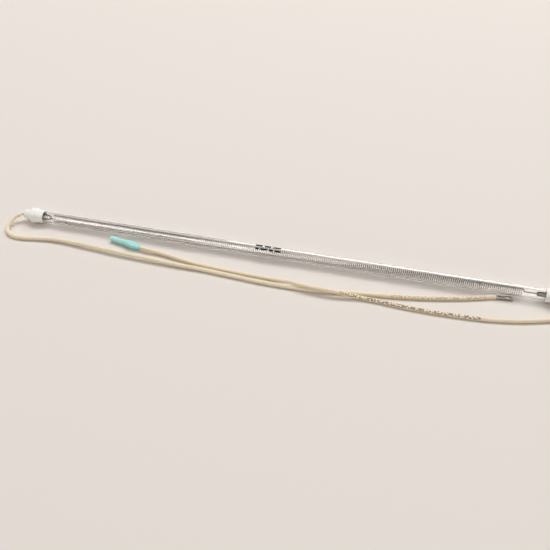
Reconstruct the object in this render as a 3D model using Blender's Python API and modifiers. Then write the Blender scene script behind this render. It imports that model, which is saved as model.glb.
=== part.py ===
# Quartz heating tube: a wound resistance coil in a clear glass tube, with a soft cap
# and a braided lead at each end. The tube lies along X on its cap flanges, and both
# leads lie in front of it on the same surface. Metres, +Z up, real size.

import math

import bmesh
import bpy
from mathutils import Vector

MM = 0.001

# Clearance between pieces that touch
FIT_GAP = 0.3 * MM

# Glass tube
GLASS_OD = 10.5 * MM
GLASS_WALL = 1.1 * MM
GLASS_LENGTH = 489.0 * MM
GLASS_POLISH = 0.3 * MM          # rounding of its two ends
GLASS_IN_CAP = 9.0 * MM          # how far the glass goes into each cap
GLASS_STEPS = 32

# Heating coil
COIL_PITCH = 1.8 * MM
COIL_OD = 7.5 * MM
COIL_WIRE = 1.0 * MM
COIL_SETBACK = 10.2 * MM         # bare glass between the left cap and the first turn
COIL_FAR_SETBACK = 19.8 * MM     # and between the last turn and the right cap
COIL_STEPS = 6                   # wire points in each turn
COIL_SIDES = 3                   # sides of the wire's section
TAIL_RUN = 2.4 * MM              # where the wire comes in from the coil to the axis
TAIL_IN_CRIMP = 2.4 * MM

# Crimp barrel that joins the coil's tail to the lead's conductor
CRIMP_LENGTH = 8.6 * MM
CRIMP_ROOT_OD = 6.4 * MM
CRIMP_TIP_OD = 3.6 * MM
CRIMP_TIP_WALL = 0.7 * MM
CRIMP_SOCKET = 3.8 * MM          # depth of the conductor's bore
CRIMP_ROUND = 0.4 * MM
CRIMP_THICKNESS = 3.9 * MM       # across the two flats that the press leaves
CRIMP_DENT_RADIUS = 1.5 * MM
CRIMP_DENT_DEPTH = 0.4 * MM
CRIMP_DENT_AT = 6.1 * MM         # from the tip
CRIMP_DENT_STEPS = 12
CRIMP_ROLL = {"left": math.radians(-45.0), "right": math.radians(50.0)}   # how the flats face
CRIMP_STEPS = 16

# Stopper in the end of the glass
STOPPER_LENGTH = 7.0 * MM
STOPPER_RECESS = 1.6 * MM        # how far its face lies behind the cap's lip
STOPPER_CHAMFER = 0.4 * MM
STOPPER_STEPS = 20

# End cap
CAP_LENGTH = 20.5 * MM
CAP_LIP_WALL = 0.5 * MM
CAP_LIP_CHAMFER = 0.7 * MM
CAP_COLLAR_OD = 12.8 * MM
FLANGE_OD = 14.4 * MM
FLANGE_START = 7.1 * MM          # from the lip, along the axis
FLANGE_SLOPE = 1.1 * MM
FLANGE_WIDTH = 5.4 * MM
FLANGE_ROUND = 0.5 * MM
FLANGE_ROUND_STEPS = 2
NOSE_ROOT_OD = 9.9 * MM
NOSE_END_OD = 8.4 * MM
NOSE_ROUND = 1.3 * MM
NOSE_ROUND_STEPS = 3
CAP_STEPS = 24

# Insulated wire that runs through the cap's nose
CONDUCTOR_OD = 1.2 * MM
CONDUCTOR_STEPS = 10
INSULATION_OD = 2.6 * MM
CONDUCTOR_IN_INSULATION = 5.0 * MM
WIRE_BEND = math.radians(38.0)   # how far it has turned where the lead starts
WIRE_BEND_RADIUS = 7.0 * MM
WIRE_BEND_INSIDE = 0.5 * MM      # the bend starts this far inside the nose
WIRE_BEND_STEPS = 4
BORE_OVERRUN = 1.0 * MM          # how far a cutter starts outside the face it opens

# Leads
LEAD_OD = 3.8 * MM
LEAD_POINT_GAP = 3.0             # most diameters between two points
LEAD_POINT_TURN = math.radians(24.0)

# Bullet terminal on the left lead
STRANDS_BARE = 0.6 * MM
TERMINAL_LENGTH = 14.0 * MM
TERMINAL_OD = 3.4 * MM
TERMINAL_BULLET_OD = 3.6 * MM
TERMINAL_NECK_OD = 2.3 * MM
TERMINAL_BARREL = 5.4 * MM       # length of its crimp barrel
TERMINAL_NECK = 1.2 * MM
TERMINAL_GROOVE = 0.3 * MM       # depth of the detent groove
TERMINAL_GROOVE_AT = 2.42 * MM   # from the tip
TERMINAL_SOCKET = 4.2 * MM
TERMINAL_TIP_ROUND = 1.1 * MM
TERMINAL_TIP_STEPS = 2
TERMINAL_STEPS = 16

# Connector on the right lead: a metal socket in a moulded sleeve
SLEEVE_LENGTH = 31.5 * MM
SLEEVE_REAR_OD = 4.7 * MM
SLEEVE_BULGE_OD = 7.2 * MM
SLEEVE_FRONT_OD = 5.0 * MM
SLEEVE_BULGE_AT = 9.0 * MM       # from the rear end
SLEEVE_BULGE_WIDTH = 2.2 * MM
SLEEVE_SHOULDER_OD = 5.7 * MM    # where the bulge runs out towards the front
SLEEVE_SHOULDER_RUN = 1.6 * MM
SLEEVE_SWELL_OD = 6.336 * MM     # where it starts behind the bulge
SLEEVE_SWELL_RUN = 3.6 * MM
SLEEVE_FRONT_AT = 16.5 * MM
SLEEVE_LIP = 0.5 * MM
SLEEVE_REAR_WEB = 4.0 * MM       # length of the narrow bore at the rear
SLEEVE_STEPS = 20
SOCKET_OD = 3.4 * MM
SOCKET_BORE = 2.3 * MM
SOCKET_LENGTH = 25.0 * MM
SOCKET_BORE_DEPTH = 14.0 * MM
SOCKET_CRIMP_DEPTH = 7.0 * MM
SOCKET_STEPS = 16

# Places that follow from the sizes above
AXIS_HEIGHT = FLANGE_OD / 2
LIP_X = GLASS_LENGTH / 2 - GLASS_IN_CAP
COIL_TURNS = round((2 * LIP_X - COIL_SETBACK - COIL_FAR_SETBACK) / COIL_PITCH)
GLASS_BORE = GLASS_OD / 2 - GLASS_WALL
CRIMP_TIP_X = LIP_X + STOPPER_RECESS - FIT_GAP - CRIMP_LENGTH
SURFACE_CLEAR = 0.05 * MM
LEAD_HEIGHT = LEAD_OD / 2 + SURFACE_CLEAR

# Route of the left lead, in millimetres: x, y, and height above the lowest centreline
LEFT_ROUTE = [
    (-263.4, -4.6, 4.9), (-265.6, -8.7, 3.9), (-267.0, -13.5, 2.5), (-266.8, -18.9, 1.0),
    (-263.5, -23.9, 0.15), (-257.1, -27.1, 0.0), (-248.6, -27.6, 0.0), (-234.5, -25.6, 0.2),
    (-217.3, -23.7, 0.7), (-199.7, -24.1, 1.2), (-181.0, -25.5, 1.5), (-162.5, -27.0, 1.6),
    (-143.1, -28.5, 1.6), (-116.1, -29.9, 1.4), (-89.3, -30.9, 0.8), (-70.2, -31.1, 0.3),
    (-41.1, -32.8, 0.0), (-12.7, -34.5, 0.0), (14.9, -35.0, 0.0), (34.0, -34.3, 0.0),
    (59.4, -31.2, 0.0), (94.5, -27.2, 0.0), (112.0, -25.2, 0.0), (129.3, -22.5, 0.0),
    (155.1, -17.4, 0.0), (180.8, -10.6, 0.0),
]
LEFT_END = (194.5, -6.9)
LEFT_END_HEADING = math.radians(6.0)

# Route of the right lead, which passes over the left one about half way
RIGHT_ROUTE = [
    (264.2, -3.1, 5.2), (268.0, -7.0, 4.2), (268.6, -12.0, 2.4), (265.4, -16.6, 0.6),
    (260.0, -19.2, 0.0), (252.0, -21.2, 0.0), (240.3, -24.2, 0.0), (226.1, -28.3, 0.0),
    (210.2, -32.0, 0.0), (194.3, -34.6, 0.0), (180.0, -36.0, 0.0), (156.3, -36.9, 0.0),
    (130.6, -37.0, 0.0), (113.2, -36.2, 0.0), (95.5, -34.9, 0.0), (84.0, -34.4, 0.1),
    (75.0, -34.5, 0.9), (66.0, -34.9, 2.3), (57.0, -35.2, 3.6), (48.0, -35.2, 4.15),
    (38.0, -34.8, 4.2), (28.0, -34.0, 4.1), (20.5, -33.0, 3.75), (13.0, -31.2, 2.7),
    (3.0, -29.6, 1.0), (-10.0, -28.6, 0.0), (-28.0, -28.0, 0.0), (-42.6, -27.3, 0.0),
    (-57.0, -26.5, 0.0), (-71.6, -25.4, 0.0), (-86.0, -23.4, 0.0), (-101.0, -20.9, 0.3),
    (-113.0, -19.0, 0.8),
]
CONNECTOR_REAR = (-133.0, -17.0)
CONNECTOR_HEADING = math.radians(168.8)


def clear_scene():
    for thing in list(bpy.data.objects):
        bpy.data.objects.remove(thing, do_unlink=True)


def new_collection(name):
    group = bpy.data.collections.new(name)
    bpy.context.scene.collection.children.link(group)
    return group


def material(name, color, roughness, metallic=0.0, transmission=0.0):
    made = bpy.data.materials.new(name)
    made.use_nodes = True
    shader = made.node_tree.nodes["Principled BSDF"]
    shader.inputs["Base Color"].default_value = (*color, 1.0)
    shader.inputs["Roughness"].default_value = roughness
    shader.inputs["Metallic"].default_value = metallic
    shader.inputs["Transmission Weight"].default_value = transmission
    return made


def add_object(name, data, group, surface=None):
    made = bpy.data.objects.new(name, data)
    group.objects.link(made)
    if surface is not None:
        data.materials.append(surface)
    return made


def arc(center_r, center_z, radius, start, end, count):
    # Points of a round corner in a turned profile, angles in degrees from +r towards +z
    points = []
    for i in range(count + 1):
        angle = math.radians(start + (end - start) * i / count)
        points.append((center_r + radius * math.cos(angle), center_z + radius * math.sin(angle)))
    return points


def turned(name, profile, steps, group, surface, closed):
    # A closed profile makes a ring; an open one starts and ends on the axis
    mesh = bpy.data.meshes.new(name)
    bm = bmesh.new()
    verts = [bm.verts.new((r, 0.0, z)) for r, z in profile]
    for a, b in zip(verts, verts[1:]):
        bm.edges.new((a, b))
    if closed:
        bm.edges.new((verts[-1], verts[0]))
    bm.to_mesh(mesh)
    bm.free()
    made = add_object(name, mesh, group, surface)
    screw = made.modifiers.new("Screw", "SCREW")
    screw.axis = "Z"
    screw.angle = math.tau
    screw.steps = steps
    screw.render_steps = steps
    screw.use_merge_vertices = True
    screw.merge_threshold = 0.00001
    screw.use_smooth_shade = True
    return made


def rod(name, radius, start, end, steps, group, surface):
    # A plain round bar on the local Z axis
    mesh = bpy.data.meshes.new(name)
    bm = bmesh.new()
    bmesh.ops.create_cone(bm, cap_ends=True, segments=steps, radius1=radius, radius2=radius,
                          depth=end - start)
    bmesh.ops.translate(bm, verts=bm.verts, vec=(0.0, 0.0, (start + end) / 2))
    bm.to_mesh(mesh)
    bm.free()
    mesh.shade_smooth()
    mesh.set_sharp_from_angle(angle=math.radians(40.0))
    return add_object(name, mesh, group, surface)


def box_cutter(name, long, wide, high, group):
    mesh = bpy.data.meshes.new(name)
    bm = bmesh.new()
    bmesh.ops.create_cube(bm, size=1.0)
    bmesh.ops.scale(bm, verts=bm.verts, vec=(long, wide, high))
    bm.to_mesh(mesh)
    bm.free()
    return as_cutter(add_object(name, mesh, group))


def as_cutter(made):
    made.hide_render = True
    made.display_type = "WIRE"
    return made


def cut(target, cutter, name):
    boolean = target.modifiers.new(name, "BOOLEAN")
    boolean.operation = "DIFFERENCE"
    boolean.solver = "EXACT"
    boolean.object = cutter


def lay_along_x(made, side, distance):
    # Local +Z points outwards, away from the middle of the tube
    made.rotation_euler = (0.0, side * math.pi / 2, 0.0)
    made.location = (side * distance, 0.0, AXIS_HEIGHT)


def lay_on_heading(made, place, heading, height):
    made.rotation_euler = (0.0, math.pi / 2, heading)
    made.location = (place[0], place[1], height)


def step_along(place, heading, distance):
    return (place[0] + distance * math.cos(heading), place[1] + distance * math.sin(heading))


def smooth_curve(knots, per_span=24):
    # Centripetal Catmull-Rom curve through the route's own points
    path = [knots[0] * 2 - knots[1]] + list(knots) + [knots[-1] * 2 - knots[-2]]
    dense = []
    for p0, p1, p2, p3 in zip(path, path[1:], path[2:], path[3:]):
        t1 = (p1 - p0).length ** 0.5
        t2 = t1 + (p2 - p1).length ** 0.5
        t3 = t2 + (p3 - p2).length ** 0.5
        for i in range(per_span):
            t = t1 + (t2 - t1) * i / per_span
            a1 = p0 * ((t1 - t) / t1) + p1 * (t / t1)
            a2 = p1 * ((t2 - t) / (t2 - t1)) + p2 * ((t - t1) / (t2 - t1))
            a3 = p2 * ((t3 - t) / (t3 - t2)) + p3 * ((t - t2) / (t3 - t2))
            b1 = a1 * ((t2 - t) / t2) + a2 * (t / t2)
            b2 = a2 * ((t3 - t) / (t3 - t1)) + a3 * ((t - t1) / (t3 - t1))
            dense.append(b1 * ((t2 - t) / (t2 - t1)) + b2 * ((t - t1) / (t2 - t1)))
    dense.append(knots[-1].copy())
    return dense


def thin_out(dense, most_gap, most_turn):
    # Keeps a point at least every most_gap, and more often where the route bends
    kept = [dense[0]]
    start = (dense[1] - dense[0]).normalized()
    run = 0.0
    for before, here, after in zip(dense, dense[1:], dense[2:]):
        run += (here - before).length
        heading = (after - here).normalized()
        if run >= most_gap or start.angle(heading) >= most_turn:
            kept.append(here)
            start = heading
            run = 0.0
    if (dense[-1] - kept[-1]).length < most_gap / 4:
        kept.pop()
    kept.append(dense[-1])
    return kept


def poly_curve(name, points, group, surface=None, cyclic=False):
    data = bpy.data.curves.new(name, "CURVE")
    data.dimensions = "3D"
    spline = data.splines.new("POLY")
    spline.points.add(len(points) - 1)
    for target, point in zip(spline.points, points):
        target.co = (*point, 1.0)
    spline.use_smooth = True
    spline.use_cyclic_u = cyclic
    return add_object(name, data, group, surface)


def glass_tube(parts, surface):
    outer = GLASS_OD / 2
    top = GLASS_LENGTH / 2
    profile = [
        (GLASS_BORE + GLASS_POLISH, top), (outer - GLASS_POLISH, top),
        (outer, top - GLASS_POLISH), (outer, GLASS_POLISH - top),
        (outer - GLASS_POLISH, -top), (GLASS_BORE + GLASS_POLISH, -top),
        (GLASS_BORE, GLASS_POLISH - top), (GLASS_BORE, top - GLASS_POLISH),
    ]
    tube = turned("glass_tube", profile, GLASS_STEPS, parts, surface, True)
    lay_along_x(tube, 1, 0.0)


def coil_points():
    # Straight tail, half a turn in towards the axis, the turns, and the same at the far end
    radius = (COIL_OD - COIL_WIRE) / 2
    first = COIL_SETBACK - LIP_X
    last = first + COIL_TURNS * COIL_PITCH
    tail_tip = CRIMP_TIP_X + TAIL_IN_CRIMP
    turn_in = COIL_STEPS // 2
    points = [Vector((-tail_tip, 0.0, 0.0))]
    for i in range(-turn_in, COIL_TURNS * COIL_STEPS + turn_in + 1):
        over = max(-i, i - COIL_TURNS * COIL_STEPS, 0) / turn_in
        x = first + COIL_PITCH * min(max(i / COIL_STEPS, 0), COIL_TURNS)
        x += math.copysign(over * TAIL_RUN, i)
        reach = radius * (1.0 - over)
        angle = math.tau * i / COIL_STEPS
        points.append(Vector((x, reach * math.cos(angle), reach * math.sin(angle))))
    points.append(Vector((tail_tip, 0.0, 0.0)))
    return points


def heating_coil(parts, helpers, surface):
    coil = poly_curve("heating_coil", coil_points(), parts, surface)
    # The section has the same area as round wire, with one flat facing out
    sector = math.tau / COIL_SIDES
    corner = COIL_WIRE / 2 * math.sqrt(math.tau / (COIL_SIDES * math.sin(sector)))
    section_points = []
    for i in range(COIL_SIDES):
        section_points.append((corner * math.cos(i * sector), -corner * math.sin(i * sector), 0.0))
    section = as_cutter(poly_curve("coil_wire_section", section_points, helpers, cyclic=True))
    coil.data.bevel_mode = "OBJECT"
    coil.data.bevel_object = section
    coil.data.use_fill_caps = True
    # The frame along a helix turns a little with each turn, and the tilt undoes it
    lean = math.atan(COIL_PITCH / (math.pi * (COIL_OD - COIL_WIRE)))
    for i, point in enumerate(coil.data.splines[0].points):
        point.tilt = -math.tau * i / COIL_STEPS * math.sin(lean)
    coil.location = (0.0, 0.0, AXIS_HEIGHT)


def crimp_barrel(name, side, roll, parts, helpers, surface):
    # Local z runs from the tip, at the coil, to the root at the stopper; the root is pressed
    # flat on two sides, so it fans out in the other direction
    tip = CRIMP_TIP_OD / 2
    root = CRIMP_ROOT_OD / 2
    tip_bore = tip - CRIMP_TIP_WALL
    socket = CONDUCTOR_OD / 2 + FIT_GAP
    web_low = TAIL_IN_CRIMP + FIT_GAP
    web_high = CRIMP_LENGTH - CRIMP_SOCKET - FIT_GAP
    top = CRIMP_LENGTH
    profile = [(0.0, web_high), (socket, web_high), (socket, top), (root - CRIMP_ROUND, top),
               (root, top - CRIMP_ROUND), (tip, CRIMP_ROUND), (tip - CRIMP_ROUND, 0.0),
               (tip_bore, 0.0), (tip_bore, web_low), (0.0, web_low)]
    barrel = turned(name, profile, CRIMP_STEPS, parts, surface, False)
    lay_along_x(barrel, side, CRIMP_TIP_X)
    facing = Vector((0.0, math.sin(roll), math.cos(roll)))
    middle = Vector((side * (CRIMP_TIP_X + CRIMP_LENGTH / 2), 0.0, AXIS_HEIGHT))
    for i, way in enumerate((1, -1)):
        press = box_cutter("%s_press_%d" % (name, i + 1), CRIMP_LENGTH + 2 * BORE_OVERRUN,
                           CRIMP_ROOT_OD + 2 * BORE_OVERRUN, root, helpers)
        press.rotation_euler = (-roll, 0.0, 0.0)
        press.location = middle + facing * way * (CRIMP_THICKNESS + root) / 2
        cut(barrel, press, "Press %d" % (i + 1))
    dent = rod(name + "_dent", CRIMP_DENT_RADIUS, -root, root, CRIMP_DENT_STEPS, helpers, None)
    as_cutter(dent)
    dent.rotation_euler = (math.pi / 2 - roll, 0.0, 0.0)
    high = CRIMP_THICKNESS / 2 - CRIMP_DENT_DEPTH + CRIMP_DENT_RADIUS
    dent.location = Vector((side * (CRIMP_TIP_X + CRIMP_DENT_AT), 0.0, AXIS_HEIGHT)) + facing * high
    cut(barrel, dent, "Dent")


def stopper(name, side, parts, surface):
    outer = GLASS_BORE - FIT_GAP
    bore = CONDUCTOR_OD / 2 + FIT_GAP
    low = STOPPER_RECESS
    high = low + STOPPER_LENGTH
    profile = [(bore, high), (outer - STOPPER_CHAMFER, high), (outer, high - STOPPER_CHAMFER),
               (outer, low + STOPPER_CHAMFER), (outer - STOPPER_CHAMFER, low), (bore, low)]
    plug = turned(name, profile, STOPPER_STEPS, parts, surface, True)
    lay_along_x(plug, side, LIP_X)


def end_cap(name, side, parts, surface):
    # Local z is 0 at the lip and runs out to the nose
    socket = GLASS_OD / 2 + FIT_GAP
    bore = INSULATION_OD / 2 + FIT_GAP
    floor = GLASS_IN_CAP + FIT_GAP
    collar = CAP_COLLAR_OD / 2
    flange = FLANGE_OD / 2
    shoulder = FLANGE_START + FLANGE_WIDTH
    nose_end = NOSE_END_OD / 2
    profile = [(bore, CAP_LENGTH)]
    profile += arc(nose_end - NOSE_ROUND, CAP_LENGTH - NOSE_ROUND, NOSE_ROUND, 90, 10,
                   NOSE_ROUND_STEPS)
    profile += [(NOSE_ROOT_OD / 2, shoulder)]
    profile += arc(flange - FLANGE_ROUND, shoulder - FLANGE_ROUND, FLANGE_ROUND, 90, 0,
                   FLANGE_ROUND_STEPS)
    profile += [(flange, FLANGE_START + FLANGE_SLOPE), (collar, FLANGE_START),
                (socket + CAP_LIP_WALL, CAP_LIP_CHAMFER), (socket + CAP_LIP_WALL / 2, 0.0),
                (socket, 0.0), (socket, floor), (bore, floor)]
    cap = turned(name, profile, CAP_STEPS, parts, surface, True)
    lay_along_x(cap, side, LIP_X)


def conductor(name, side, parts, surface):
    start = STOPPER_RECESS - FIT_GAP - CRIMP_SOCKET
    end = GLASS_IN_CAP + 2 * FIT_GAP + CONDUCTOR_IN_INSULATION
    bar = rod(name, CONDUCTOR_OD / 2, start, end, CONDUCTOR_STEPS, parts, surface)
    lay_along_x(bar, side, LIP_X)


def wire_exit(side):
    # End of the insulated wire outside the nose, and the heading that the lead takes there
    bend_start = LIP_X + CAP_LENGTH - WIRE_BEND_INSIDE
    x = bend_start + WIRE_BEND_RADIUS * math.sin(WIRE_BEND)
    y = -WIRE_BEND_RADIUS * (1.0 - math.cos(WIRE_BEND))
    heading = Vector((side * math.cos(WIRE_BEND), -math.sin(WIRE_BEND), 0.0))
    return Vector((side * x, y, AXIS_HEIGHT)), heading


def wire_insulation(name, side, parts, helpers, surface):
    inner = LIP_X + GLASS_IN_CAP + 2 * FIT_GAP
    bend_start = LIP_X + CAP_LENGTH - WIRE_BEND_INSIDE
    points = [Vector((side * inner, 0.0, AXIS_HEIGHT))]
    for i in range(WIRE_BEND_STEPS + 1):
        turn = WIRE_BEND * i / WIRE_BEND_STEPS
        x = bend_start + WIRE_BEND_RADIUS * math.sin(turn)
        y = -WIRE_BEND_RADIUS * (1.0 - math.cos(turn))
        points.append(Vector((side * x, y, AXIS_HEIGHT)))
    guide = poly_curve(name + "_guide", points, helpers)
    guide.data.bevel_depth = INSULATION_OD / 2
    guide.data.bevel_resolution = 3
    guide.data.use_fill_caps = True
    bpy.context.view_layer.update()
    seen = guide.evaluated_get(bpy.context.evaluated_depsgraph_get())
    mesh = bpy.data.meshes.new_from_object(seen)
    mesh.name = name
    place = guide.matrix_world.copy()
    bpy.data.objects.remove(guide, do_unlink=True)
    bm = bmesh.new()
    bm.from_mesh(mesh)
    bmesh.ops.remove_doubles(bm, verts=bm.verts, dist=0.00001)
    bm.to_mesh(mesh)
    bm.free()
    wire = add_object(name, mesh, parts, surface)
    wire.matrix_world = place
    depth = CONDUCTOR_IN_INSULATION + FIT_GAP
    bore = rod(name + "_bore", CONDUCTOR_OD / 2 + FIT_GAP, -BORE_OVERRUN, depth,
               CONDUCTOR_STEPS, helpers, None)
    lay_along_x(as_cutter(bore), side, inner)
    cut(wire, bore, "Bore")


def lead(name, points, parts, surface):
    route = thin_out(smooth_curve(points), LEAD_POINT_GAP * LEAD_OD, LEAD_POINT_TURN)
    made = poly_curve(name, route, parts, surface)
    made.data.bevel_depth = LEAD_OD / 2
    made.data.bevel_resolution = 2
    made.data.use_fill_caps = True


def lead_knots(side, route, end, heading, height):
    # The route starts square to the insulated wire's end and ends square to what it carries
    exit_point, exit_heading = wire_exit(side)
    start = exit_point + exit_heading * FIT_GAP
    knots = [start, start + exit_heading * LEAD_OD / 2]
    for x, y, rise in route:
        knots.append(Vector((x * MM, y * MM, LEAD_HEIGHT + rise * MM)))
    straight = Vector((math.cos(heading), math.sin(heading), 0.0)) * LEAD_OD
    finish = Vector((end[0], end[1], height))
    knots += [finish - straight, finish]
    return knots


def metres(place):
    return (place[0] * MM, place[1] * MM)


def left_lead_end(parts, helpers, plated, copper):
    end = metres(LEFT_END)
    reach = STRANDS_BARE + TERMINAL_SOCKET
    strands = rod("left_lead_strands", CONDUCTOR_OD / 2, FIT_GAP, reach, CONDUCTOR_STEPS,
                  parts, copper)
    lay_on_heading(strands, end, LEFT_END_HEADING, LEAD_HEIGHT)
    outer = TERMINAL_OD / 2
    neck = TERMINAL_NECK_OD / 2
    bullet = TERMINAL_BULLET_OD / 2
    socket = CONDUCTOR_OD / 2 + FIT_GAP
    bullet_start = TERMINAL_BARREL + TERMINAL_NECK
    tip = TERMINAL_LENGTH
    groove = tip - TERMINAL_GROOVE_AT
    profile = [(0.0, tip), (bullet - TERMINAL_TIP_ROUND, tip)]
    profile += arc(bullet - TERMINAL_TIP_ROUND, tip - TERMINAL_TIP_ROUND, TERMINAL_TIP_ROUND,
                   60, 0, TERMINAL_TIP_STEPS)
    profile += [(bullet, groove + TERMINAL_GROOVE), (bullet - TERMINAL_GROOVE, groove),
                (bullet, groove - TERMINAL_GROOVE), (bullet, bullet_start), (neck, bullet_start),
                (neck, TERMINAL_BARREL), (outer, TERMINAL_BARREL - TERMINAL_GROOVE), (outer, 0.0),
                (socket, 0.0), (socket, TERMINAL_SOCKET + FIT_GAP), (0.0, TERMINAL_SOCKET + FIT_GAP)]
    terminal = turned("lead_terminal", profile, TERMINAL_STEPS, parts, plated, False)
    lay_on_heading(terminal, step_along(end, LEFT_END_HEADING, STRANDS_BARE), LEFT_END_HEADING,
                   LEAD_HEIGHT)


def connector(parts, sleeve_surface, plated, copper):
    rear = metres(CONNECTOR_REAR)
    height = SLEEVE_BULGE_OD / 2
    bore = SOCKET_OD / 2 + FIT_GAP
    strand_bore = CONDUCTOR_OD / 2 + FIT_GAP
    front = SLEEVE_FRONT_OD / 2
    length = SLEEVE_LENGTH
    swell_at = SLEEVE_BULGE_AT - SLEEVE_SWELL_RUN
    profile = [(bore, length), (front - SLEEVE_LIP / 2, length), (front, length - SLEEVE_LIP),
               (front, SLEEVE_FRONT_AT),
               (SLEEVE_SHOULDER_OD / 2, SLEEVE_FRONT_AT - SLEEVE_SHOULDER_RUN),
               (height, SLEEVE_BULGE_AT + SLEEVE_BULGE_WIDTH), (height, SLEEVE_BULGE_AT),
               (SLEEVE_SWELL_OD / 2, swell_at), (SLEEVE_REAR_OD / 2, SLEEVE_LIP),
               (SLEEVE_REAR_OD / 2 - SLEEVE_LIP / 2, 0.0), (strand_bore, 0.0),
               (strand_bore, SLEEVE_REAR_WEB), (bore, SLEEVE_REAR_WEB)]
    sleeve = turned("connector_sleeve", profile, SLEEVE_STEPS, parts, sleeve_surface, True)
    lay_on_heading(sleeve, rear, CONNECTOR_HEADING, height)
    outer = SOCKET_OD / 2
    start = SLEEVE_REAR_WEB + FIT_GAP
    end = start + SOCKET_LENGTH
    profile = [(0.0, end - SOCKET_BORE_DEPTH), (SOCKET_BORE / 2, end - SOCKET_BORE_DEPTH),
               (SOCKET_BORE / 2, end), (outer, end), (outer, start), (strand_bore, start),
               (strand_bore, start + SOCKET_CRIMP_DEPTH), (0.0, start + SOCKET_CRIMP_DEPTH)]
    socket = turned("connector_socket", profile, SOCKET_STEPS, parts, plated, False)
    lay_on_heading(socket, rear, CONNECTOR_HEADING, height)
    reach = start + SOCKET_CRIMP_DEPTH - FIT_GAP
    strands = rod("right_lead_strands", CONDUCTOR_OD / 2, 0.0, reach, CONDUCTOR_STEPS,
                  parts, copper)
    lay_on_heading(strands, rear, CONNECTOR_HEADING, height)


def build():
    clear_scene()
    parts = new_collection("quartz_heating_tube")
    helpers = new_collection("cutters_and_guides")
    clear_glass = material("clear_glass", (0.93, 0.95, 0.94), 0.03, transmission=1.0)
    coil_wire = material("coil_wire", (0.45, 0.43, 0.41), 0.3, metallic=1.0)
    plated = material("plated_steel", (0.55, 0.53, 0.50), 0.32, metallic=1.0)
    copper = material("bare_conductor", (0.62, 0.52, 0.42), 0.4, metallic=1.0)
    white_rubber = material("white_rubber", (0.86, 0.88, 0.84), 0.5)
    dark_rubber = material("dark_rubber", (0.05, 0.05, 0.05), 0.6)
    pale_rubber = material("pale_rubber", (0.83, 0.80, 0.74), 0.5)
    braid = material("glass_braid", (0.85, 0.76, 0.58), 0.8)
    turquoise = material("turquoise_plastic", (0.30, 0.76, 0.77), 0.4)

    glass_tube(parts, clear_glass)
    heating_coil(parts, helpers, coil_wire)
    for end_name, side in (("left", -1), ("right", 1)):
        crimp_barrel(end_name + "_crimp", side, CRIMP_ROLL[end_name], parts, helpers, plated)
        stopper(end_name + "_stopper", side, parts, dark_rubber)
        end_cap(end_name + "_end_cap", side, parts, white_rubber)
        conductor(end_name + "_conductor", side, parts, copper)
        wire_insulation(end_name + "_wire_insulation", side, parts, helpers, pale_rubber)

    left = lead_knots(-1, LEFT_ROUTE, metres(LEFT_END), LEFT_END_HEADING, LEAD_HEIGHT)
    lead("left_lead", left, parts, braid)
    left_lead_end(parts, helpers, plated, copper)
    rear = step_along(metres(CONNECTOR_REAR), CONNECTOR_HEADING, -FIT_GAP)
    right = lead_knots(1, RIGHT_ROUTE, rear, CONNECTOR_HEADING, SLEEVE_BULGE_OD / 2)
    lead("right_lead", right, parts, braid)
    connector(parts, turquoise, plated, copper)


build()
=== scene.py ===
import math

import bpy
import numpy as np
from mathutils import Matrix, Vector


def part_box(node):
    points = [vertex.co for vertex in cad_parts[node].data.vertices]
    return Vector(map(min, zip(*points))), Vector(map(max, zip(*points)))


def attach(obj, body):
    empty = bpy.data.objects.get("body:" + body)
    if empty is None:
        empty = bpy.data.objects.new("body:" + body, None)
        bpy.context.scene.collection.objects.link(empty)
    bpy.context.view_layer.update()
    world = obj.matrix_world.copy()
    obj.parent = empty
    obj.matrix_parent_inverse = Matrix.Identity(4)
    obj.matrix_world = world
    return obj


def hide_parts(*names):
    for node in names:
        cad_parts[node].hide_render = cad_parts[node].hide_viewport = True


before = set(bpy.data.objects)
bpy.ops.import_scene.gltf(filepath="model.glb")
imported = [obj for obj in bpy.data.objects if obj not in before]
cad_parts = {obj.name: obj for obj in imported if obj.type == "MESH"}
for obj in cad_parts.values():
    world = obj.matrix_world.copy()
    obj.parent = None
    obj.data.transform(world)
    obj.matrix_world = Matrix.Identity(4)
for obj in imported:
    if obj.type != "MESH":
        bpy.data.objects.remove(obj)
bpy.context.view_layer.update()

# Quartz heating tube, dressed for the camera. Metres, +Z up. The tube lies along X.
mm = 0.001

scene = bpy.context.scene
scene.view_settings.view_transform = "Standard"

cameraSetup = {
    "target": (-0.3 * mm, -28.3 * mm, 7.2 * mm),
    "distance": 691.8 * mm,
    "azimuth": 12.82,      # degrees, round the vertical
    "elevation": 45.0,
    "lens": 50.49,
}

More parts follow.
